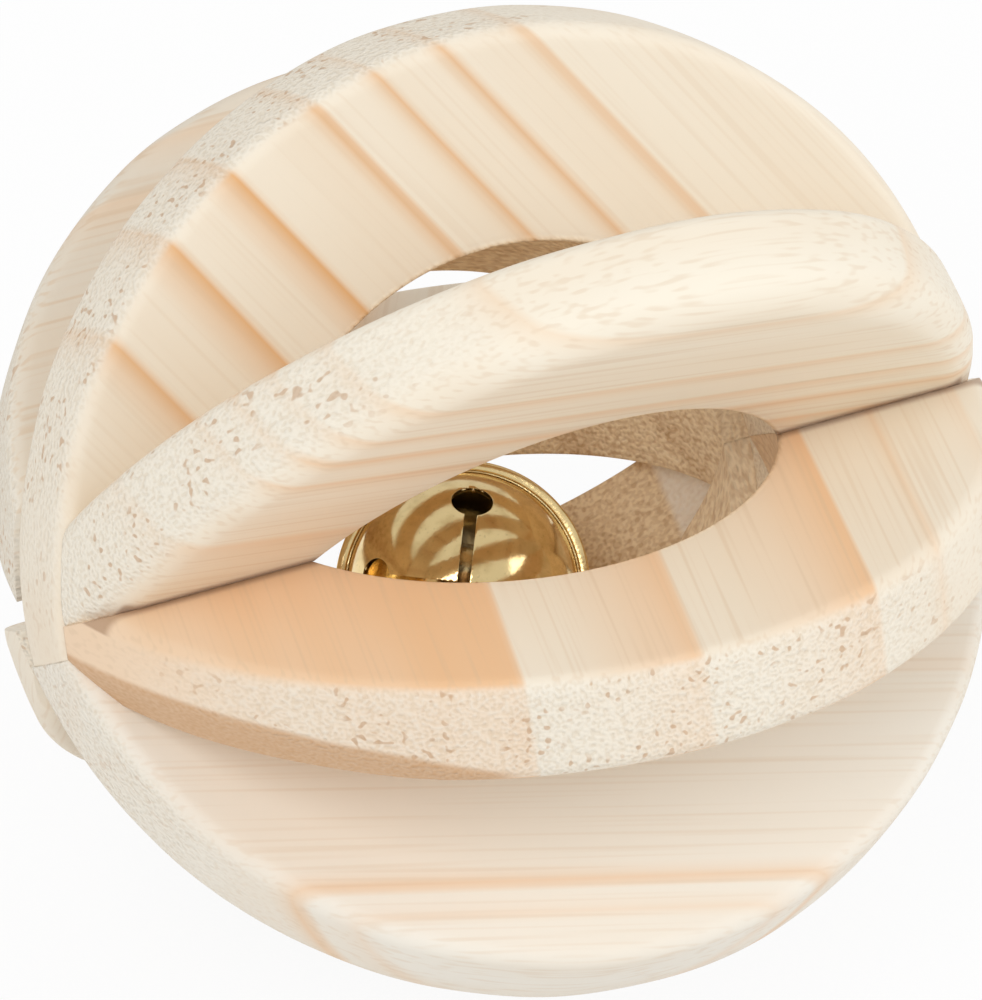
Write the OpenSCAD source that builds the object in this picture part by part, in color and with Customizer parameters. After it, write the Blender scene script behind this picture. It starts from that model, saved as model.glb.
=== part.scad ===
// Wooden play ball with a rattle bell inside.
// Eight flat C-shaped fins of pine stand round one common line, the axis of the ball, which runs
// along X. They are glued to each other at both poles: a few run through to the axis there, and the
// ends of the others are mitred and butted against them. The round windows sawn out of their inner
// edges leave a hollow that the loose bell lies in.
// Angles round the axis are counted from straight down, turning towards the front (-Y).

/* [Ball] */
// Diameter of the ball, over the rims of the fins
ball_d = 60; // [54:0.5:80]
// Diameter of the round window that the fins leave in the middle
window_d = 33.6; // [30:0.2:40]

/* [Fins] */
// Thickness of the board that the fins are sawn from
fin_t = 6.4; // [4.6:0.1:7.4]
// Radius of the sanded arris along both sides of a rim
arris_r = 1; // [0.3:0.1:1.8]
// How much smaller the first fin was sawn, on its rim and on its window
first_fin_short = 1.7; // [0:0.1:2.5]
// How much smaller the seventh fin was sawn
seventh_fin_short = 1.7; // [0:0.1:2.5]
// How much wider the window of the sixth fin was sawn
sixth_window_extra = 0.9; // [0:0.1:1.5]
// Height of the cut that trims the third fin's lower arris, near the left pole
trim_h = 2.8; // [1.4:0.1:3]

/* [Bell] */
// Diameter of the bell over its two domes
bell_d = 14; // [11:0.5:16]
// Thickness of the sheet that the bell is pressed from
bell_wall = 0.35; // [0.25:0.05:0.5]
// Width of the crimped rim, out from the domes
bell_rim_w = 0.65; // [0.6:0.05:1]
// Width of the two crossed slots
slot_w = 0.75; // [0.5:0.05:1.2]
// Diameter of the holes at the ends of the slots
hole_d = 2.5; // [1.6:0.1:3.2]
// Angle from the middle of the slotted dome to the holes
hole_angle = 49; // [42:1:56]
// Diameter of the steel pellet that rattles inside
pellet_d = 4; // [3:0.1:5]

/* [Hidden] */
$fn = 96;

// The fins are set by eye. Each leans a few degrees off its even place round the axis, and each is
// glued a little to one side of it. The first fin and the last are the feet.
FIN_COUNT = 8;
FIN_LEAN = [-3.5, -3, -5, 0, 5, 3.5, -1.5, -0.5];
FIN_SHIFT = [0, -0.6, 0.6, 0, -0.7, 0, 0.4, -0.8];
FIN_COLOR = ["burlywood", "wheat", "bisque", "antiquewhite", "bisque", "wheat", "bisque", "wheat"];

// The fins whose ends keep all the width of the board at a pole. Others are butted against them.
LEFT = -1;
RIGHT = 1;
LEFT_THROUGH = [1, 4];
RIGHT_THROUGH = 6;

// The trimming cut on the third fin: where it is deepest, from the top of the fin's arch towards
// the right pole, how far beside the fin's centre its cone stands, and its rise to its depth
TRIM_TURN = -66;
TRIM_OFFSET = 7.2;
TRIM_STEEP = 1.6;

// How far an arris stands out, so that it crosses the crown of the rim and doesn't only touch it
crown_bite = 0.02;

// The bell lies with the middle of its slotted dome towards the front and up.
BELL_TILT = 47;
BELL_TURN = -120;

half_t = fin_t / 2;
rim_r = ball_d / 2;
window_r = window_d / 2;
bell_r = bell_d / 2;
bell_rim_r = bell_r + bell_rim_w;
lip_gap = 0.05;
loose_gap = 0.03;

function fin_angle(i) = (i + 0.5) * 360 / FIN_COUNT + FIN_LEAN[i];
function fin_short(i) = i == 0 ? first_fin_short : i == 6 ? seventh_fin_short : 0;
function fin_window(i) = window_r - fin_short(i) + (i == 5 ? sixth_window_extra : 0);
// Directions and points below are [y, z] pairs, seen along the axis of the ball.
function outward(i) = [-sin(fin_angle(i)), -cos(fin_angle(i))];
function across(i) = [-cos(fin_angle(i)), sin(fin_angle(i))];
// Where the line that lies d1 along the unit vector n1 crosses the one that lies d2 along n2
function crossing(n1, d1, n2, d2) = [d1 * n2.y - d2 * n1.y, d2 * n1.x - d1 * n2.x] / cross(n1, n2);
// Where the near faces of a fin and the next one meet
function valley(i, j) = crossing(
    across(i), FIN_SHIFT[i] + half_t, across(j), FIN_SHIFT[j] - half_t
);
function next(i) = (i + 1) % FIN_COUNT;
function previous(i) = (i + FIN_COUNT - 1) % FIN_COUNT;
function unit(v) = v / norm(v);

// The centre of the rim's arris, from the axis of the fin's own disc
function arris_at(i) =
    crown_bite + sqrt(pow(rim_r - fin_short(i) - arris_r, 2) - pow(half_t - arris_r, 2));
// side is 1 for the face towards the next fin and -1 for the other
function foot(i, side) =
    arris_at(i) * outward(i) + (FIN_SHIFT[i] + side * (half_t - arris_r)) * across(i);

// The ball settles on its two feet, the first fin and the last, which turns it a little.
first = 0;
last = FIN_COUNT - 1;
feet_line = foot(last, 1) - foot(first, -1);
settle = -atan2(feet_line.y, feet_line.x);

// The bell's dome lies on the window of the last fin, and its rim stops at the near corner of the
// first fin's window.
bell_seat = window_r - bell_r - loose_gap;
stop_corner =
    (window_r - fin_short(first)) * outward(first) + (FIN_SHIFT[first] - half_t) * across(first);
stop_out = stop_corner * outward(last);
stop_across = stop_corner * across(last);
bell_across = stop_across - sqrt(pow(bell_rim_r, 2) - pow(bell_seat - stop_out, 2));
bell_at = bell_seat * outward(last) + bell_across * across(last);

// Section through a fin's rim and window, out from the fin's own centre. The rim is crowned to the
// ball's radius, and both arrises are round.
module fin_profile(i) {
    rim = rim_r - fin_short(i);
    crown = asin((half_t - arris_r) / (rim - arris_r));
    translate([window_r - fin_short(i), -half_t])
        square([arris_at(i) - window_r + fin_short(i), fin_t]);
    for (side = [-1, 1])
        translate([arris_at(i), side * (half_t - arris_r)])
            circle(r = arris_r);
    intersection() {
        circle(r = rim, $fn = 4 * $fn);
        polygon([[0, 0], 2 * rim * [cos(crown), -sin(crown)], 2 * rim * [cos(crown), sin(crown)]]);
    }
}

// The whole ring that a fin is one half of, standing in the fin's own plane
module fin_ring(i) {
    rotate([-fin_angle(i), 0, 0])
        translate([0, -FIN_SHIFT[i], 0])
            rotate([90, 0, 0])
                rotate_extrude()
                    difference() {
                        fin_profile(i);
                        square([2 * fin_window(i), 2 * fin_t], center = true);
                    }
}

// Some fins run through at a pole, so the others there are butted against their boards.
function runs_through(i, pole) =
    pole == LEFT ? i == LEFT_THROUGH[0] || i == LEFT_THROUGH[1] : i == RIGHT_THROUGH;
// The two that do so at the left pole are mitred to each other, from one of these to the other.
left_mitre = [valley(LEFT_THROUGH[0], LEFT_THROUGH[1]), valley(LEFT_THROUGH[1], LEFT_THROUGH[0])];

// The boards that run through at a pole, seen along the axis
module through_boards(pole) {
    if (pole == LEFT) {
        reach = [for (i = LEFT_THROUGH) 2 * rim_r * outward(i)];
        polygon([
            left_mitre[0], left_mitre[0] + reach[0], left_mitre[1] + reach[0],
            left_mitre[1], left_mitre[1] + reach[1], left_mitre[0] + reach[1]
        ]);
    } else {
        face = half_t * across(RIGHT_THROUGH);
        start = FIN_SHIFT[RIGHT_THROUGH] * across(RIGHT_THROUGH) - fin_t * outward(RIGHT_THROUGH);
        end = start + 2 * rim_r * outward(RIGHT_THROUGH);
        polygon([start - face, start + face, end + face, end - face]);
    }
}

// The wedge from one direction to another, seen along the axis
module wedge(from, to) {
    polygon([[0, 0], 2 * rim_r * from, 4 * rim_r * unit(from + to), 2 * rim_r * to]);
}

// The space that fin i has at a pole, seen along the axis. Where it meets a fin that doesn't run
// through, it stops at the mitre between the two.
module pole_space(i, pole) {
    before = previous(i);
    after = next(i);
    mitres = [unit(valley(before, i)), unit(valley(i, after))];
    if (!runs_through(i, pole))
        difference() {
            wedge(
                runs_through(before, pole) ? outward(before) : mitres[0],
                runs_through(after, pole) ? outward(after) : mitres[1]
            );
            if (pole == LEFT || runs_through(before, pole) || runs_through(after, pole))
                through_boards(pole);
        }
    else if (pole == RIGHT)
        wedge(unit(valley(previous(before), before)), unit(valley(after, next(after))));
    else {
        beyond = left_mitre[0] - left_mitre[1];
        ends = [left_mitre[0] + beyond, left_mitre[1] - beyond];
        polygon([ends[0], ends[1], for (n = [1, 0]) ends[n] + 2 * rim_r * outward(i)]);
    }
}

// What is sawn off a fin at a pole: everything outside its space there
module pole_waste(i, pole) {
    start = window_r / 2;
    translate([pole == LEFT ? -start - rim_r : start, 0, 0])
        rotate([90, 0, 90])
            linear_extrude(height = rim_r)
                difference() {
                    circle(r = rim_r + fin_t);
                    pole_space(i, pole);
                }
}

// What a trimming cut along the rim of the third fin leaves: a steep cone round a line beside the
// fin's own centre, so that the cut is deepest near the left pole and runs out before the middle.
module trim_limit(i) {
    middle_r = rim_r + TRIM_OFFSET - (trim_h - half_t) / TRIM_STEEP;
    rotate([-fin_angle(i), 0, 0])
        translate([-TRIM_OFFSET * sin(TRIM_TURN), -FIN_SHIFT[i], TRIM_OFFSET * cos(TRIM_TURN)])
            rotate([-90, 0, 0])
                cylinder(
                    h = 2 * fin_t, center = true,
                    r1 = middle_r + fin_t / TRIM_STEEP, r2 = middle_r - fin_t / TRIM_STEEP
                );
}

module fin(i) {
    color(FIN_COLOR[i])
        rotate([settle, 0, 0])
            difference() {
                intersection() {
                    fin_ring(i);
                    rotate([-fin_angle(i), 0, 0])
                        translate([-ball_d, -ball_d, -ball_d - fin_t])
                            cube([2 * ball_d, 2 * ball_d, ball_d + 2 * fin_t]);
                    if (i == 2)
                        trim_limit(i);
                }
                for (pole = [LEFT, RIGHT])
                    pole_waste(i, pole);
            }
}

module at_bell() {
    rotate([settle, 0, 0])
        translate([0, bell_at.x, bell_at.y])
            rotate([0, BELL_TILT, BELL_TURN])
                children();
}

// One dome of sheet, open downwards, with the middle of the bell at the origin
module dome_section() {
    intersection() {
        difference() {
            circle(r = bell_r);
            circle(r = bell_r - bell_wall);
        }
        square(bell_r);
    }
}

// Crossed slots with a round hole at each end
module bell_slots() {
    reach = bell_r * sin(hole_angle);
    for (turn = [0:90:270])
        rotate([0, 0, turn]) {
            translate([0, -slot_w / 2, bell_r * cos(hole_angle) / 2])
                cube([reach, slot_w, bell_r]);
            rotate([0, hole_angle, 0])
                translate([0, 0, bell_r / 2])
                    cylinder(d = hole_d, h = bell_r);
        }
}

// The slotted dome has a flat lip, which the other shell is folded over.
module bell_front_shell() {
    lip_r = bell_rim_r - bell_wall;
    color("gold")
        at_bell()
            difference() {
                rotate_extrude() {
                    dome_section();
                    translate([bell_r - bell_wall, 0])
                        square([lip_r - bell_r + bell_wall, bell_wall]);
                }
                bell_slots();
            }
}

module bell_back_shell() {
    color("goldenrod")
        at_bell()
            rotate_extrude() {
                mirror([0, 1])
                    dome_section();
                translate([bell_r - bell_wall, -bell_wall])
                    square([bell_rim_w + bell_wall, bell_wall]);
                translate([bell_rim_r - bell_wall, -bell_wall])
                    square([bell_wall, 3 * bell_wall]);
                translate([bell_r + lip_gap, bell_wall])
                    square([bell_rim_w - lip_gap, bell_wall]);
            }
}

// The pellet lies at the lowest place inside the shells.
module bell_pellet() {
    drop = bell_r - bell_wall - pellet_d / 2 - loose_gap;
    color("silver")
        rotate([settle, 0, 0])
            translate([0, bell_at.x, bell_at.y])
                rotate([-settle, 0, 0])
                    translate([0, 0, -drop])
                        sphere(d = pellet_d);
}

fin(0);  // fin_1
fin(1);  // fin_2
fin(2);  // fin_3
fin(3);  // fin_4
fin(4);  // fin_5
fin(5);  // fin_6
fin(6);  // fin_7
fin(7);  // fin_8
bell_front_shell();
bell_back_shell();
bell_pellet();
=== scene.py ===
import math

import bmesh
import bpy
from mathutils import Matrix, Vector, noise


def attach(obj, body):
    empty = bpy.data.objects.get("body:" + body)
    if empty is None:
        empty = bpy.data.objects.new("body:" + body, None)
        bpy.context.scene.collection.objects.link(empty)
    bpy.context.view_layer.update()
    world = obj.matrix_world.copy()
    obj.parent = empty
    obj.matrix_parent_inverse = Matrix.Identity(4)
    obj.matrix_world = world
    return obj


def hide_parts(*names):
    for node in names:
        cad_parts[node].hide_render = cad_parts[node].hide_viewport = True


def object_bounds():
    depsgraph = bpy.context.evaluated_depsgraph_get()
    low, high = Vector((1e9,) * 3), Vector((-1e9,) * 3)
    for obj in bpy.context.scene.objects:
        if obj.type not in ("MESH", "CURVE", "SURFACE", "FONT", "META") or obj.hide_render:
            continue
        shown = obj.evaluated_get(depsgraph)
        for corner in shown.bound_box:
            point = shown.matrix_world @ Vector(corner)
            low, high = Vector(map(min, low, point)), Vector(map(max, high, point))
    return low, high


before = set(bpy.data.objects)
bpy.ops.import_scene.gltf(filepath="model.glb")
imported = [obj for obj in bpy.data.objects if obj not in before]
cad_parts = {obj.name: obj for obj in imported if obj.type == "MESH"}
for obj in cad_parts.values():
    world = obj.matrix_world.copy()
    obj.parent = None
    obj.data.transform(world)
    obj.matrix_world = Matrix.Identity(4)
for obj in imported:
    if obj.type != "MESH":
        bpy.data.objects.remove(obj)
low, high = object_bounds()

# ---------------------------------------------------------------------------------------------
# The camera looks down on the ball from its front left through a long lens, slightly rolled.
camera_distance = 0.75
seen_height = 0.05917
seen_from = Vector((-0.3694, -0.6623, 0.6519)).normalized()
upwards = Vector((0.2450, 0.6072, 0.7557))
rightwards = upwards.cross(seen_from).normalized()
upwards = seen_from.cross(rightwards)
off_centre = 0.00031 * upwards - 0.00034 * rightwards

camera_data = bpy.data.cameras.new("camera")
camera_data.sensor_fit = "VERTICAL"
camera_data.sensor_height = 36
camera_data.lens = camera_data.sensor_height * camera_distance / seen_height
camera_data.clip_start = 0.05
camera_data.clip_end = 20
camera = bpy.data.objects.new("camera", camera_data)
axes = Matrix((rightwards, upwards, seen_from)).transposed()
camera.matrix_world = Matrix.Translation(camera_distance * seen_from + off_centre) @ axes.to_4x4()
bpy.context.scene.collection.objects.link(camera)
bpy.context.scene.camera = camera
bpy.context.scene.view_settings.view_transform = "Standard"


# ---------------------------------------------------------------------------------------------
# A plain white table top and soft studio light: one large lamp over the front left, a weaker one
# at the right and a pale room all round.
class Wire:
    """An output socket of a material. Arithmetic on it adds Math nodes, add() adds any node."""

    def __init__(self, tree, socket=None):
        self.tree = tree
        self.socket = socket

    def add(self, kind, settings=None, sockets=None, out=0):
        node = self.tree.nodes.new(kind)
        for name, value in (settings or {}).items():
            if name == "stops":
                ramp = node.color_ramp
                ramp.elements.remove(ramp.elements[1])
                ramp.elements[0].position, ramp.elements[0].color = value[0]
                for position, color in value[1:]:
                    ramp.elements.new(position).color = color
            else:
                setattr(node, name, value)
        for name, value in (sockets or {}).items():
            if isinstance(value, Wire):
                self.tree.links.new(value.socket, node.inputs[name])
            else:
                node.inputs[name].default_value = value
        return Wire(self.tree, node.outputs[out])

    def math(self, operation, *values):
        return self.add("ShaderNodeMath", {"operation": operation}, dict(enumerate(values)))

    def __add__(self, other):
        return self.math("ADD", self, other)

    def __radd__(self, other):
        return self.math("ADD", other, self)

    def __sub__(self, other):
        return self.math("SUBTRACT", self, other)

    def __rsub__(self, other):
        return self.math("SUBTRACT", other, self)

    def __mul__(self, other):
        return self.math("MULTIPLY", self, other)

    def __rmul__(self, other):
        return self.math("MULTIPLY", other, self)

    def __truediv__(self, other):
        return self.math("DIVIDE", self, other)

    def __pow__(self, other):
        return self.math("POWER", self, other)

    def ramp(self, start, end):
        """0 up to start, 1 from end on, and smooth between. start may be the larger one."""
        if start > end:
            return 1 - self.ramp(end, start)
        return self.add(
            "ShaderNodeMapRange",
            {"interpolation_type": "SMOOTHSTEP"},
            {"Value": self, "From Min": start, "From Max": end},
        )

    def tint(self, factor, color):
        """This colour, with another laid over it as strongly as the factor says."""
        return self.add(
            "ShaderNodeMix", {"data_type": "RGBA"}, {0: factor, 6: self, 7: (*color, 1)}, out=2
        )


def new_material(name):
    material = bpy.data.materials.new(name)
    material.use_nodes = True
    tree = material.node_tree
    shader = tree.nodes["Principled BSDF"]
    return material, Wire(tree), shader


def connect(wire, socket):
    wire.tree.links.new(wire.socket, socket)


def new_object(name, mesh, material):
    data = bpy.data.meshes.new(name)
    bmesh.ops.recalc_face_normals(mesh, faces=mesh.faces)
    mesh.to_mesh(data)
    mesh.free()
    data.materials.append(material)
    data.shade_smooth()
    piece = bpy.data.objects.new(name, data)
    bpy.context.scene.collection.objects.link(piece)
    return piece


table_white, wires, shader = new_material("table_white")
shader.inputs["Base Color"].default_value = (0.86, 0.86, 0.86, 1)
shader.inputs["Roughness"].default_value = 0.9
shader.inputs["Specular IOR Level"].default_value = 0.1
table_white.cycles.emission_sampling = "NONE"
glow = wires.add("ShaderNodeEmission", None, {"Color": (1, 1, 1, 1), "Strength": 1.0})
path = wires.add("ShaderNodeLightPath")
seen = path.add("ShaderNodeLightPath", out="Is Camera Ray")
mirrored = path.add("ShaderNodeLightPath", out="Is Glossy Ray")
through = path.add("ShaderNodeLightPath", out="Is Transmission Ray")
whitened = 0.92 * seen.math("MAXIMUM", seen, mirrored.math("MAXIMUM", mirrored, through))
lit = Wire(wires.tree, shader.outputs[0])
top = lit.add("ShaderNodeMixShader", None, {0: whitened, 1: lit, 2: glow})
connect(top, wires.tree.nodes["Material Output"].inputs["Surface"])

mesh = bmesh.new()
bmesh.ops.create_grid(mesh, x_segments=1, y_segments=1, size=3)
bmesh.ops.translate(mesh, verts=mesh.verts, vec=(0, 0, low.z))
table = new_object("table", mesh, table_white)


def softbox(name, place, size, power):
    lamp = bpy.data.lights.new(name, "AREA")
    lamp.shape = "DISK"
    lamp.size = size
    lamp.energy = power
    softbox = bpy.data.objects.new(name, lamp)
    softbox.location = place
    softbox.rotation_euler = Vector(place).to_track_quat("Z", "Y").to_euler()
    bpy.context.scene.collection.objects.link(softbox)


softbox("key_light", (-0.45, -0.35, 0.65), 0.5, 2.3)
softbox("fill_light", (0.6, -0.35, 0.35), 0.6, 1.6)

world = bpy.data.worlds.new("room")
bpy.context.scene.world = world
world.use_nodes = True
room = world.node_tree.nodes["Background"]
room.inputs["Color"].default_value = (1, 1, 1, 1)
room.inputs["Strength"].default_value = 0.72

# ---------------------------------------------------------------------------------------------
# The eight fins: half rings sawn from 6.4 mm pine board, sanded by hand and glued to each other at
# both poles. They are set by eye, so each leans a little and sits a little to one side. A few run
# through to the ball's axis, and the others are mitred and butted against them.
rim_r = (high.x - low.x) / 2
window_r = 0.0168
board = 0.0064
arris_r = 0.001
window_arris_r = 0.0003
# The finest step of a fin's mesh, and how deep and how closely set the unevenness of sanding is
grain_step = 0.0005
half_turn_steps = 110
sanding_depth = 0.00012
sanding_per_m = 160
sanded_from_r = 0.024
# How far inside a saw cut a fin's faces get a row of their own
edge_guard = 0.00012
# How far the ball rolled over, in degrees, until both of its feet touched the table
settle = 2.455
LEAN = [-3.5, -3, -5, 0, 5, 3.5, -1.5, -0.5]
SHIFT = [0, -0.0006, 0.0006, 0, -0.0007, 0, 0.0004, -0.0008]
# How much smaller than the ball a fin was sawn, and how much larger its window then is
SHORT = [0.0017, 0, 0, 0, 0, 0, 0.0017, 0]
WIDER = [0, 0, 0, 0, 0, 0.0009, 0, 0]
# The boards that a fin is butted against at the left and the right pole, and on which of their
# faces, counting the fins from 0
BUTTS = [
    {0: [(1, -1)], 2: [(1, 1), (4, -1)], 3: [(1, 1), (4, -1)],
     5: [(4, 1)], 6: [(4, 1)], 7: [(1, -1)]},
    {5: [(6, -1)], 7: [(6, 1)]},
]


def turn_of(number):
    """Turns a fin's own frame (x along the ball's axis, y across the board, z outwards)."""
    angle = math.radians((number + 0.5) * 45 + LEAN[number] - settle)
    return Matrix.Rotation(math.pi - angle, 3, "X")


def valley(number, next_number):
    """Where the near faces of two fins meet, as a direction square to the ball's axis."""
    here = turn_of(number) @ Vector((0, 1, 0))
    there = turn_of(next_number) @ Vector((0, 1, 0))
    reach_here = SHIFT[number] + board / 2
    reach_there = SHIFT[next_number] - board / 2
    spread = here.y * there.z - here.z * there.y
    return Vector((
        0,
        (reach_here * there.z - reach_there * here.z) / spread,
        (reach_there * here.y - reach_here * there.y) / spread,
    ))


def saw_cuts(number, pole):
    """The cuts at a fin's end, each by a point on it and a direction in it square to the axis."""
    before, after = (number + 7) % 8, (number + 1) % 8
    axis = Vector((0, 0, 0))
    if pole == 0 and number in (1, 4):
        return [(valley(1, 4), valley(4, 1) - valley(1, 4))]
    if pole == 1 and number == 6:
        return [(axis, valley(4, 5)), (axis, valley(7, 0))]
    boards = BUTTS[pole].get(number, [])
    butted = [board_number for board_number, side in boards]
    cuts = []
    if before not in butted:
        cuts.append((axis, valley(before, number)))
    if after not in butted:
        cuts.append((axis, valley(number, after)))
    for other, side in boards:
        turn = turn_of(other)
        face = Vector((0, SHIFT[other] + side * board / 2, 0))
        cuts.append((turn @ face, turn @ Vector((0, 0, 1))))
    return cuts


def fin_section(mesh, inner, outer, lower_arris):
    """The section of a fin at its top: a rectangle with round arrises, in many short steps."""
    corners = [(inner, -1), (outer, -1), (outer, 1), (inner, 1)]
    verts = [mesh.verts.new((0, side * board / 2, z)) for z, side in corners]
    mesh.faces.new(verts)
    for corner, radius in ((verts[1], lower_arris), (verts[2], arris_r)):
        bmesh.ops.bevel(
            mesh, geom=[corner], offset=radius, offset_type="OFFSET", segments=7, profile=0.5,
            affect="VERTICES", material=-1)
    window_corners = [v for v in mesh.verts if v.co.z < inner + 1e-6]
    bmesh.ops.bevel(
        mesh, geom=window_corners, offset=window_arris_r, offset_type="OFFSET", segments=3,
        profile=0.5, affect="VERTICES", material=-1)
    for edge in list(mesh.edges):
        cuts = int(edge.calc_length() / grain_step)
        if cuts:
            bmesh.ops.subdivide_edges(mesh, edges=[edge], cuts=cuts)
    for vert in mesh.verts:
        if vert.co.z > (inner + outer) / 2:
            vert.co.z -= outer - math.sqrt(outer ** 2 - vert.co.y ** 2)


def saw_off(mesh, point, along, outward):
    """Saws a fin off at a plane through point that holds along and the ball's axis's direction.

    A first cut just inside it keeps the shading of the long faces from bending at the edge."""
    square = Vector((0, along.z, -along.y)).normalized()
    if square.dot(outward * rim_r - point) > 0:
        square.negate()
    everything = mesh.verts[:] + mesh.edges[:] + mesh.faces[:]
    bmesh.ops.bisect_plane(
        mesh, geom=everything, plane_co=point - edge_guard * square, plane_no=square)
    everything = mesh.verts[:] + mesh.edges[:] + mesh.faces[:]
    cut = bmesh.ops.bisect_plane(
        mesh, geom=everything, plane_co=point, plane_no=square, clear_outer=True)
    edges = [item for item in cut["geom_cut"] if isinstance(item, bmesh.types.BMEdge)]
    bmesh.ops.edgeloop_fill(mesh, edges=edges)


def add_to(mesh, part):
    """Moves a part mesh's faces into another mesh."""
    data = bpy.data.meshes.new("part")
    part.to_mesh(data)
    part.free()
    mesh.from_mesh(data)
    bpy.data.meshes.remove(data)


def make_fin(number, material, shape=None, lower_arris=arris_r):
    """A fin in two halves, each spun a little past the pole and then sawn off there."""
    turn = turn_of(number)
    outward = turn @ Vector((0, 0, 1))
    mesh = bmesh.new()
    for pole in (0, 1):
        half = bmesh.new()
        fin_section(
            half, window_r - SHORT[number] + WIDER[number], rim_r - SHORT[number], lower_arris)
        bmesh.ops.spin(
            half, geom=half.verts[:] + half.edges[:] + half.faces[:], cent=(0, 0, 0),
            axis=(0, 1, 0), angle=math.radians(100 if pole else -100), steps=half_turn_steps)
        top = [face for face in half.faces if all(abs(v.co.x) < 1e-7 for v in face.verts)]
        bmesh.ops.delete(half, geom=top, context="FACES_ONLY")
        bmesh.ops.translate(half, verts=half.verts, vec=(0, SHIFT[number], 0))
        if shape:
            shape(half)
        # Hand sanding leaves every surface a little uneven.
        for vert in half.verts:
            spot = vert.co * sanding_per_m + Vector((number * 7.3, 0, 0))
            radial = Vector((vert.co.x, 0, vert.co.z))
            if radial.length > sanded_from_r:
                vert.co += radial.normalized() * sanding_depth * noise.noise(spot)
        bmesh.ops.rotate(half, verts=half.verts, cent=(0, 0, 0), matrix=turn)
        for point, along in saw_cuts(number, pole):
            saw_off(half, point, along, outward)
        add_to(mesh, half)
    bmesh.ops.remove_doubles(mesh, verts=mesh.verts, dist=1e-6)
    name = "fin_%d" % (number + 1)
    piece = new_object(name + "_wood", mesh, material)
    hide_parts(name)
    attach(piece, "root")


# ---------------------------------------------------------------------------------------------
# Pine: pale early wood that darkens to orange late wood and stops sharply at each ring, fine fibre
# streaks along the grain, and torn white end grain with open brown pits where the saw crossed it.
EARLY = (0.86, 0.775, 0.64)
LATE = (0.80, 0.45, 0.19)
BAND = (0.78, 0.62, 0.44)
STREAK = (0.68, 0.50, 0.33)
END_GRAIN = (0.84, 0.785, 0.68)
TORN = (0.66, 0.56, 0.42)
PIT = (0.52, 0.30, 0.15)
# Scorch on the window walls, both tones lightened with painted light for the shaded hollow
SCORCH_PALE_AND_PAINTED_LIGHT = (0.97, 0.77, 0.51, 1)
SCORCH_DARK_AND_PAINTED_LIGHT = (0.55, 0.33, 0.16, 1)
# Glue in the seams, darkened further with painted shade for the valleys between fins
SEAM_GLUE_AND_SHADE = (0.30, 0.15, 0.07)
# The rings are laid over a strip of wood this wide, in mm, from its middle outwards both ways.
strip_mm = 80


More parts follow.
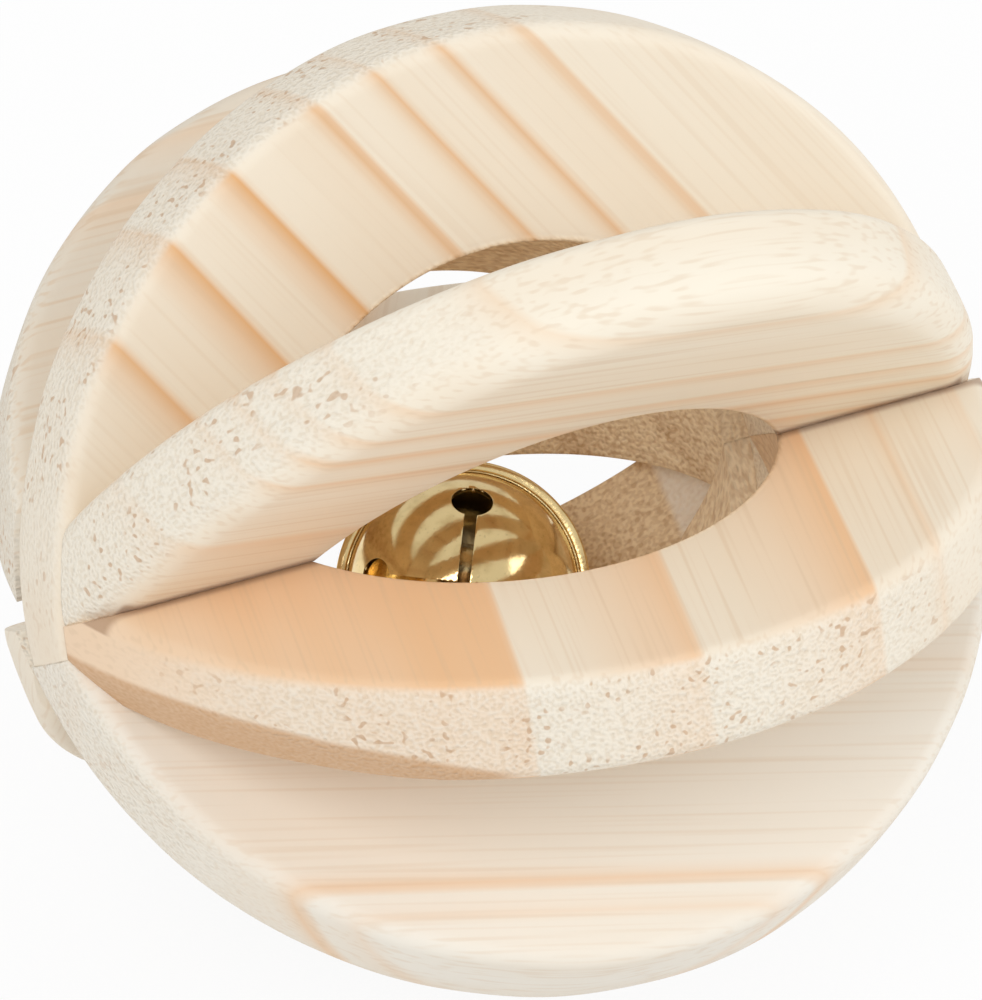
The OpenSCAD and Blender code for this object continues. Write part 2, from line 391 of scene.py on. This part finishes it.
def pine(number, grain, rings, slope=40, pith=90, early=EARLY, late=LATE, streaky=0.3, pits=1.0,
         window=0.5, seam_glue_and_shade=(0, 0), extra=None):
    """grain is the fibres' angle in the board, from the ball's axis outwards. rings are the places
    in mm, square to the grain, where each year ends, with the strength and the width of its late
    wood. slope is how far the rings lean over in the board's thickness, and pith is how far away
    the middle of the tree was, in mm. streaky, pits, window and seam_glue_and_shade say how strong
    the fibre streaks, the open pits, the window wall's scorch and painted light, and the glue and
    painted shade of the two seams are, and extra adds what only one fin has."""
    material, wires, shader = new_material("pine_%d" % (number + 1))
    turn = turn_of(number)
    fibre_angle = math.radians(grain)
    ring_angle = math.radians(slope)
    place = wires.add("ShaderNodeTexCoord", out="Object")
    own = place.add(
        "ShaderNodeMapping", {"vector_type": "TEXTURE"},
        {"Vector": place, "Rotation": (turn.to_euler().x, 0, 0)})
    grain_turn = (turn @ Matrix.Rotation(-fibre_angle, 3, "Y")).to_euler()
    along = place.add(
        "ShaderNodeMapping", {"vector_type": "TEXTURE"},
        {"Vector": place, "Rotation": tuple(grain_turn)})

    def cloud(scale, stretch, seed=0.0):
        """Smooth noise, drawn out along the fibres"""
        squeezed = along.add(
            "ShaderNodeVectorMath", {"operation": "MULTIPLY_ADD"},
            {0: along, 1: (scale / stretch, scale, scale), 2: (seed, seed, number)})
        return place.add(
            "ShaderNodeTexNoise", {"noise_dimensions": "3D"},
            {"Vector": squeezed, "Scale": 1.0, "Detail": 0.0}, out="Fac")

    # The years, counted outwards from the middle of the tree
    across = 1000 * along.add("ShaderNodeSeparateXYZ", None, {0: along}, out="Y")
    beside = 1000 * along.add("ShaderNodeSeparateXYZ", None, {0: along}, out="Z")
    far_y = pith * math.sin(ring_angle)
    far_z = pith * math.cos(ring_angle)
    from_pith = ((beside + far_z) ** 2 + (across + far_y) ** 2) ** 0.5
    outwards = math.copysign(1.0, pith)
    wobble = (cloud(70, 4) - 0.5) * 1.5
    year = (outwards * from_pith - pith + wobble) / strip_mm + 0.5
    stops = []
    for place_mm, strength, width in rings:
        edge = place_mm / strip_mm + 0.5
        for before, part in ((width, 0.05), (0.5 * width, 0.42), (0.2, 1.0), (-0.12, 0.0)):
            stops.append((edge - before / strip_mm, (part * strength,) * 3 + (1,)))
    late_wood = year.add("ShaderNodeValToRGB", {"stops": stops}, {"Fac": year}, out="Color")

    streaks = cloud(3400, 70)
    bands = cloud(330, 14, seed=3.0)
    normal = place.add("ShaderNodeNewGeometry", out="Normal")
    fibre = turn @ Vector((math.cos(fibre_angle), 0, math.sin(fibre_angle)))
    facing = normal.add(
        "ShaderNodeVectorMath", {"operation": "DOT_PRODUCT"}, {0: normal, 1: fibre}, out="Value")
    facing = facing.math("ABSOLUTE", facing)
    end_grain = facing.ramp(0.45, 0.85)
    torn = cloud(4200, 2.6, seed=7.0)
    pit = cloud(2300, 3.2, seed=11.0).ramp(0.63, 0.76) * bands.ramp(0.42, 0.56)
    pit = pit * end_grain * pits

    base = place.add("ShaderNodeRGB")
    base.socket.default_value = (*early, 1)
    color = base.tint((bands - 0.35).math("MAXIMUM", bands - 0.35, 0.0) * 0.5, BAND)
    color = color.tint(late_wood * (0.85 + 0.3 * (bands - 0.5)), late)
    color = color.tint(streaks.ramp(0.5, 0.8) * streaky, STREAK)
    color = color.tint(end_grain * (0.35 + torn * 0.5), END_GRAIN)
    color = color.tint(end_grain * torn.ramp(0.52, 0.32) * 0.3, TORN)
    color = color.tint(pit * 0.6, PIT)

    # The window's wall is brown from the hot saw, with painted light for the shaded hollow.
    radial = along.add("ShaderNodeVectorMath", {"operation": "MULTIPLY"}, {0: along, 1: (1, 0, 1)})
    reach = radial.add("ShaderNodeVectorMath", {"operation": "LENGTH"}, {0: radial}, out="Value")
    inner = window_r + WIDER[number]
    wall = reach.ramp(inner + 0.0005, inner + 0.0001)
    scorch_and_painted_light = base.add("ShaderNodeMix", {"data_type": "RGBA"}, {
        0: late_wood * 0.7 + streaks.ramp(0.42, 0.68) * 0.3 + torn.ramp(0.6, 0.38) * 0.3,
        6: SCORCH_PALE_AND_PAINTED_LIGHT, 7: SCORCH_DARK_AND_PAINTED_LIGHT}, out=2)
    color = color.add(
        "ShaderNodeMix", {"data_type": "RGBA"}, {0: wall * window, 6: color, 7: scorch_and_painted_light}, out=2)

    # Glue and painted shade darken the seams where this fin meets its neighbours.
    width = own.add("ShaderNodeSeparateXYZ", None, {0: own}, out="Y")
    height = own.add("ShaderNodeSeparateXYZ", None, {0: own}, out="Z")
    upper, lower = (number, (number + 1) % 8), ((number + 7) % 8, number)
    for side, neighbours, strength in ((1, upper, seam_glue_and_shade[1]), (-1, lower, seam_glue_and_shade[0])):
        if strength:
            depth = (turn.transposed() @ valley(*neighbours)).z
            seam_glue_and_shade_mask = height.ramp(depth + 0.0009, depth + 0.0001) * (side * width).ramp(0.0028, 0.0030)
            color = color.tint(seam_glue_and_shade_mask * strength, SEAM_GLUE_AND_SHADE)
    if extra:
        color = extra(color, own, torn)

    connect(color, shader.inputs["Base Color"])
    connect(0.6 + 0.2 * end_grain, shader.inputs["Roughness"])
    shader.inputs["Specular IOR Level"].default_value = 0.35
    rough = end_grain.math("MAXIMUM", end_grain, wall * 0.9)
    relief = torn * rough
    bump = relief.add(
        "ShaderNodeBump", None, {"Height": relief, "Distance": 0.00024, "Strength": 0.6})
    connect(bump, shader.inputs["Normal"])
    return material


# The third fin's lower arris was trimmed near the left pole, which laid its late wood bare.
trim_turn = math.radians(-66)
trim_offset = 0.0072
trim_steep = 1.6
trim_h = 0.0028
trim_middle = Vector((-trim_offset * math.sin(trim_turn), 0, -trim_offset * math.cos(trim_turn)))
trim_r = rim_r + trim_offset - (trim_h - board / 2) / trim_steep


def trim(mesh):
    """Sands the arris down to a slanted cone, in the fin's own frame."""
    for vert in mesh.verts:
        out = Vector((vert.co.x, 0, vert.co.z)) - trim_middle
        limit = trim_r + (vert.co.y - SHIFT[2]) / trim_steep
        if out.length > limit:
            vert.co.xz = (trim_middle + out * (limit / out.length)).xz


def trimmed_wood_and_shade(color, own, torn):
    """Colours the wood that the sanding laid bare, with painted shade for its downward face."""
    out = own.add("ShaderNodeVectorMath", {"operation": "SUBTRACT"}, {0: own, 1: trim_middle})
    flat = out.add("ShaderNodeVectorMath", {"operation": "MULTIPLY"}, {0: out, 1: (1, 0, 1)})
    length = flat.add("ShaderNodeVectorMath", {"operation": "LENGTH"}, {0: flat}, out="Value")
    depth = own.add("ShaderNodeSeparateXYZ", None, {0: own}, out="Y")
    limit = (depth - SHIFT[2]) / trim_steep + trim_r
    # Bare late wood, darkened further with painted shade
    bare_and_shaded = (length - limit).ramp(-0.0004, -0.00012)
    return color.tint(bare_and_shaded * (0.55 + 0.5 * torn), (0.60, 0.36, 0.19))


make_fin(0, pine(
    0, 80, [(4, 0.5, 3), (9, 0.5, 3), (14, 0.6, 3), (19, 0.5, 3), (24, 0.5, 3)], window=0.9))
make_fin(1, pine(
    1, 14.5, [(6, 0.2, 2), (12, 0.2, 3), (23.8, 0.75, 1.2), (25.6, 0.3, 1.2)], slope=25, pith=250,
    early=(0.85, 0.80, 0.71), streaky=0.25, pits=0.4, seam_glue_and_shade=(0, 0.4)))
make_fin(2, pine(
    2, -74.5, [(-3.3, 1.0, 60), (7.0, 0.8, 7), (18.3, 0.85, 8), (23.1, 0.4, 1.2), (28, 0.25, 2)],
    slope=5, pith=400, late=(0.83, 0.48, 0.23), seam_glue_and_shade=(0, 0.6), extra=trimmed_wood_and_shade), trim)
make_fin(3, pine(
    3, -16, [(6, 0.4, 3), (12.1, 0.5, 1.6), (14.4, 0.75, 1.2), (16.4, 0.5, 1.2), (19.2, 0.45, 1.3),
             (25.2, 0.3, 1.5)],
    slope=20, pith=200, early=(0.88, 0.81, 0.68), seam_glue_and_shade=(0.6, 0)), lower_arris=0.0024)
make_fin(4, pine(
    4, -55, [(-10, 0.9, 2.5), (-3.8, 1.0, 2.6), (1.5, 1.0, 2.4), (7.9, 0.95, 1.4), (11.8, 0.7, 1.3),
             (15.6, 0.8, 1.3), (19.8, 0.7, 1.2)],
    slope=10, pith=300, late=(0.73, 0.35, 0.09), streaky=0.15))
make_fin(5, pine(
    5, 0, [(18, 0.4, 2), (21, 0.4, 2), (24, 0.3, 2), (27, 0.4, 2)], early=(0.76, 0.69, 0.58),
    streaky=0.5, window=0.95))
make_fin(6, pine(
    6, 60, [(-6, 0.5, 3), (0, 0.6, 3), (6, 0.7, 3), (12, 0.7, 3), (18, 0.6, 3), (24, 0.5, 3)],
    window=0.95))


def cleaner_end(color, own, torn):
    """Towards the right pole the last fin's window was cut by hand and stayed pale."""
    side = own.add("ShaderNodeSeparateXYZ", None, {0: own}, out="X")
    pale = side.ramp(0.0140, 0.0144) * (0.6 + 0.35 * torn)
    return color.tint(pale, (0.95, 0.87, 0.76))


make_fin(7, pine(
    7, 85, [(-12, 0.5, 3), (-6, 0.5, 3), (0, 0.5, 3), (6, 0.6, 3), (12, 0.6, 3)], window=0.95,
    extra=cleaner_end))

# ---------------------------------------------------------------------------------------------
# The rattle bell lies loose in the hollow. Two domes are pressed from brass sheet, the front one
# with crossed slots that end in round holes, and the back one is folded over the front one's lip.
bell_r = 0.007
bell_wall = 0.00035
eased_edge = 0.00006
bell_rim_r = 0.00765
slot_w = 0.00075
hole_r = 0.00125
hole_angle = math.radians(49)
loose_gap = 0.00003
# It rests on the middle of fin_8's window, and its rim stops at the corner of fin_1's.
outward_0, across_0 = turn_of(0) @ Vector((0, 0, 1)), turn_of(0) @ Vector((0, 1, 0))
outward_7, across_7 = turn_of(7) @ Vector((0, 0, 1)), turn_of(7) @ Vector((0, 1, 0))
bell_seat = window_r - bell_r - loose_gap
stop_corner = (window_r - SHORT[0]) * outward_0 + (SHIFT[0] - board / 2) * across_0
stop_out = stop_corner.dot(outward_7)
bell_across = stop_corner.dot(across_7) - math.sqrt(bell_rim_r ** 2 - (bell_seat - stop_out) ** 2)
bell_place = (
    Matrix.Translation(bell_seat * outward_7 + bell_across * across_7)
    @ Matrix.Rotation(math.radians(settle), 4, "X")
    @ Matrix.Rotation(math.radians(-120), 4, "Z")
    @ Matrix.Rotation(math.radians(47), 4, "Y")
)

brass, wires, shader = new_material("polished_brass")
shader.inputs["Metallic"].default_value = 1.0
place = wires.add("ShaderNodeTexCoord", out="Object")
soil = place.add(
    "ShaderNodeTexNoise", None, {"Vector": place, "Scale": 900.0, "Detail": 2.0}, out="Fac")
specks = place.add(
    "ShaderNodeTexNoise", None, {"Vector": place, "Scale": 5200.0, "Detail": 0.0}, out="Fac")
gold = place.add("ShaderNodeRGB")
gold.socket.default_value = (0.86, 0.66, 0.33, 1)
gold = gold.tint(soil.ramp(0.45, 0.75) * 0.45, (0.58, 0.40, 0.16))
gold = gold.tint(specks.ramp(0.72, 0.8) * 0.25, (0.40, 0.27, 0.12))
connect(gold, shader.inputs["Base Color"])
connect(0.07 + 0.12 * soil, shader.inputs["Roughness"])
dents = place.add(
    "ShaderNodeTexNoise", None, {"Vector": place, "Scale": 350.0, "Detail": 1.0}, out="Fac")
dents = dents + specks * 0.05
dents = dents.add("ShaderNodeBump", None, {"Height": dents, "Distance": 0.0002, "Strength": 0.25})
connect(dents, shader.inputs["Normal"])


def pressed_dome():
    """A half sphere of sheet, open downwards"""
    mesh = bmesh.new()
    bmesh.ops.create_uvsphere(mesh, u_segments=128, v_segments=64, radius=bell_r)
    everything = mesh.verts[:] + mesh.edges[:] + mesh.faces[:]
    bmesh.ops.bisect_plane(
        mesh, geom=everything, plane_co=(0, 0, 0), plane_no=(0, 0, 1), clear_inner=True)
    bmesh.ops.recalc_face_normals(mesh, faces=mesh.faces)
    bmesh.ops.solidify(mesh, geom=mesh.faces[:], thickness=bell_wall)
    return mesh


def turned_ring(mesh, corners, round_off):
    """A ring round the bell's axis, from the corners of its section"""
    ring = bmesh.new()
    ring.faces.new([ring.verts.new((reach, 0, z)) for reach, z in corners])
    bmesh.ops.bevel(
        ring, geom=ring.verts[:], offset=round_off, offset_type="OFFSET", segments=4, profile=0.5,
        affect="VERTICES", material=-1)
    bmesh.ops.delete(ring, geom=ring.faces[:], context="FACES_ONLY")
    bmesh.ops.spin(
        ring, geom=ring.edges[:], cent=(0, 0, 0), axis=(0, 0, 1), angle=math.tau, steps=160,
        use_merge=True)
    add_to(mesh, ring)


def cut_out(mesh, cutters):
    """The mesh with the cutters' shapes sawn and drilled out of it, and its sharp edges eased"""
    whole = new_object("whole", mesh, brass)
    tools = []
    for number, cutter in enumerate(cutters):
        tool = new_object("cutter_%d" % number, cutter, brass)
        cut = whole.modifiers.new("cut", "BOOLEAN")
        cut.operation = "DIFFERENCE"
        cut.solver = "EXACT"
        cut.object = tool
        tools.append(tool)
    bpy.context.view_layer.update()
    done = bmesh.new()
    evaluated = whole.evaluated_get(bpy.context.evaluated_depsgraph_get())
    done.from_mesh(evaluated.data)
    for item in [whole] + tools:
        bpy.data.objects.remove(item)
    bmesh.ops.remove_doubles(done, verts=done.verts, dist=2e-6)
    sharp = [e for e in done.edges if len(e.link_faces) == 2 and e.calc_face_angle(0) > 0.7]
    bmesh.ops.bevel(
        done, geom=sharp, offset=eased_edge, offset_type="OFFSET", segments=2, profile=0.5,
        affect="EDGES", material=-1, clamp_overlap=True)
    return done


def slot_cutter(turn):
    cutter = bmesh.new()
    bmesh.ops.create_cube(cutter, size=1)
    reach = bell_r * math.sin(hole_angle)
    bmesh.ops.scale(cutter, verts=cutter.verts, vec=(2 * reach, slot_w, bell_r))
    bmesh.ops.translate(
        cutter, verts=cutter.verts, vec=(0, 0, bell_r * (math.cos(hole_angle) / 2 + 0.5)))
    bmesh.ops.rotate(
        cutter, verts=cutter.verts, cent=(0, 0, 0), matrix=Matrix.Rotation(turn, 3, "Z"))
    return cutter


def hole_cutter(turn):
    cutter = bmesh.new()
    bmesh.ops.create_cone(
        cutter, cap_ends=True, segments=40, radius1=hole_r, radius2=hole_r, depth=bell_r)
    bmesh.ops.translate(cutter, verts=cutter.verts, vec=(0, 0, bell_r))
    for angle, axis in ((hole_angle, "Y"), (turn, "Z")):
        bmesh.ops.rotate(
            cutter, verts=cutter.verts, cent=(0, 0, 0), matrix=Matrix.Rotation(angle, 3, axis))
    return cutter


quarters = [math.radians(90 * number) for number in range(4)]
cutters = [slot_cutter(turn) for turn in quarters[:2]] + [hole_cutter(turn) for turn in quarters]
front = cut_out(pressed_dome(), cutters)
turned_ring(front, [
    (bell_r - 0.8 * bell_wall, 0), (bell_rim_r - bell_wall, 0),
    (bell_rim_r - bell_wall, bell_wall), (bell_r - 0.8 * bell_wall, bell_wall)], 0.00004)
back = pressed_dome()
bmesh.ops.rotate(back, verts=back.verts, cent=(0, 0, 0), matrix=Matrix.Rotation(math.pi, 3, "X"))
turned_ring(back, [
    (bell_r - 0.8 * bell_wall, -bell_wall), (bell_rim_r, -bell_wall),
    (bell_rim_r, 2 * bell_wall), (bell_r + 0.00005, 2 * bell_wall),
    (bell_r + 0.00005, bell_wall), (bell_rim_r - bell_wall, bell_wall),
    (bell_rim_r - bell_wall, 0), (bell_r - 0.8 * bell_wall, 0)], 0.00012)
for name, mesh in (("bell_front_shell", front), ("bell_back_shell", back)):
    bmesh.ops.transform(mesh, matrix=bell_place, verts=mesh.verts)
    shell = new_object(name + "_brass", mesh, brass)
    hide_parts(name)
    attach(shell, "root")

# The pellet inside is a plain steel ball, as turned, and can only be heard.
steel, wires, shader = new_material("pellet_steel")
shader.inputs["Metallic"].default_value = 1.0
shader.inputs["Base Color"].default_value = (0.55, 0.55, 0.56, 1)
place = wires.add("ShaderNodeTexCoord", out="Object")
wear = place.add(
    "ShaderNodeTexNoise", None, {"Vector": place, "Scale": 1200.0, "Detail": 2.0}, out="Fac")
connect(0.25 + 0.25 * wear, shader.inputs["Roughness"])
for material_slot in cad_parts["bell_pellet"].material_slots:
    material_slot.material = steel
